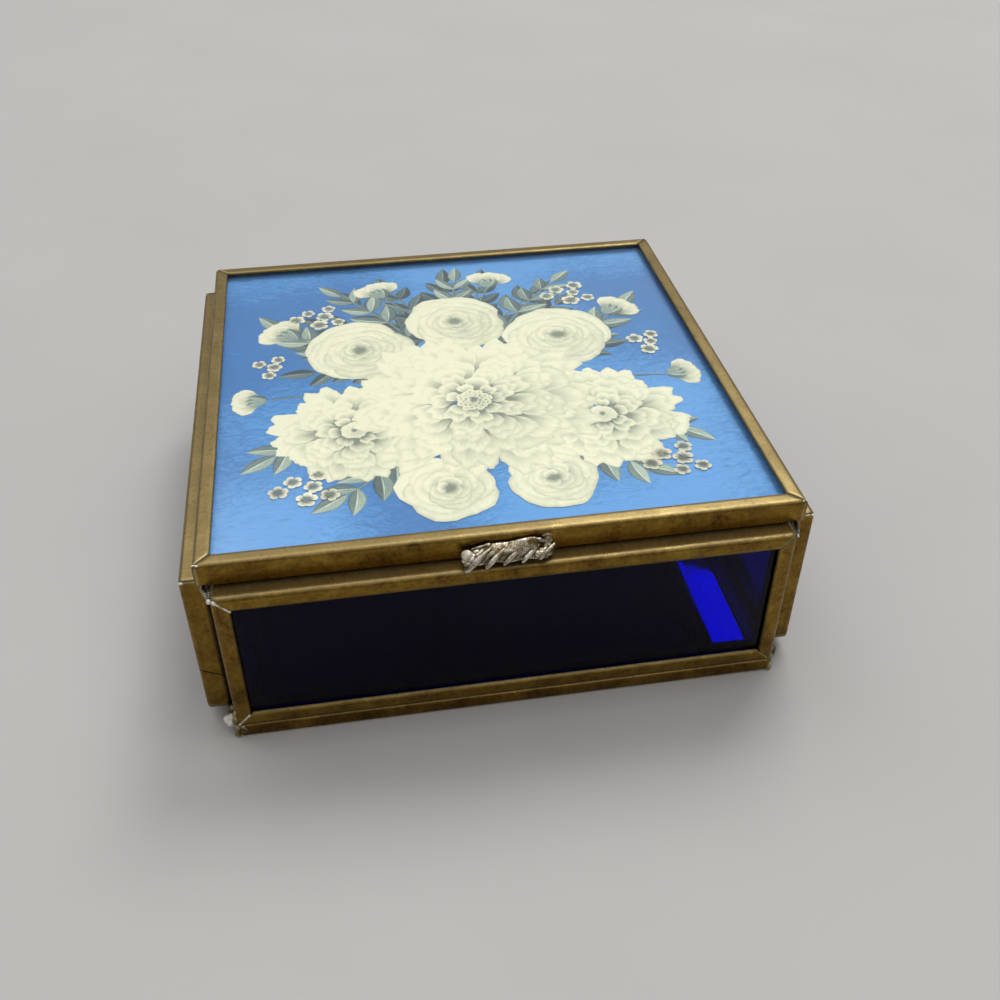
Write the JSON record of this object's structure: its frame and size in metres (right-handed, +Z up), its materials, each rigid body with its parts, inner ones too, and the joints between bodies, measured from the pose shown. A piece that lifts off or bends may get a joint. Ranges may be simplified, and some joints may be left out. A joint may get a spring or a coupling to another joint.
{
  "type": "glass casket box",
  "caption": "Low square keepsake casket of deep blue glass panes bound in brass channel, with a mirror base and a hinged lid that holds a glazed print.",
  "frame": {"origin": "centre of the body's footprint, on the surface that the box rests on", "axes": "+X to the right, +Y to the back, where the hinge is, +Z up"},
  "size_m": [0.1016, 0.1036, 0.0356],
  "materials": {
    "cobalt_glass": "gloss",
    "clear_glass": "gloss",
    "brass": "satin",
    "mirror": "polished",
    "print": "satin",
    "card": "matte",
    "solder": "satin",
    "plated_lift": "satin"
  },
  "bodies": {
    "box": {"front_glass": "cobalt_glass", "back_glass": "cobalt_glass", "left_glass": "cobalt_glass", "right_glass": "cobalt_glass", "front_channel_top": "brass", "front_channel_bottom": "brass", "front_channel_left": "brass", "front_channel_right": "brass", "back_channel_top": "brass", "back_channel_bottom": "brass", "back_channel_left": "brass", "back_channel_right": "brass", "left_channel_top": "brass", "left_channel_bottom": "brass", "left_channel_front": "brass", "left_channel_back": "brass", "right_channel_top": "brass", "right_channel_bottom": "brass", "right_channel_front": "brass", "right_channel_back": "brass", "base_mirror": "mirror", "base_channel_front": "brass", "base_channel_back": "brass", "base_channel_left": "brass", "base_channel_right": "brass", "corner_solder": "solder", "base_solder": "solder", "hinge_rod": "brass", "hinge_rod_solder": "solder"},
    "lid": {"lid_glass": "clear_glass", "lid_print": "print", "lid_backing": "card", "lid_channel_front": "brass", "lid_channel_back": "brass", "lid_channel_left": "brass", "lid_channel_right": "brass", "lid_corner_solder": "solder", "thumb_lift": "plated_lift", "thumb_lift_solder": "solder", "hinge_tube": "brass", "hinge_tube_solder": "solder"}
  },
  "joints": [
    {"name": "lid_hinge", "type": "hinge", "parent": "box", "child": "lid", "pos_m": [0, 0.0495, 0.0325], "axis": [-1, 0, 0], "range_deg": [0, 110]}
  ]
}
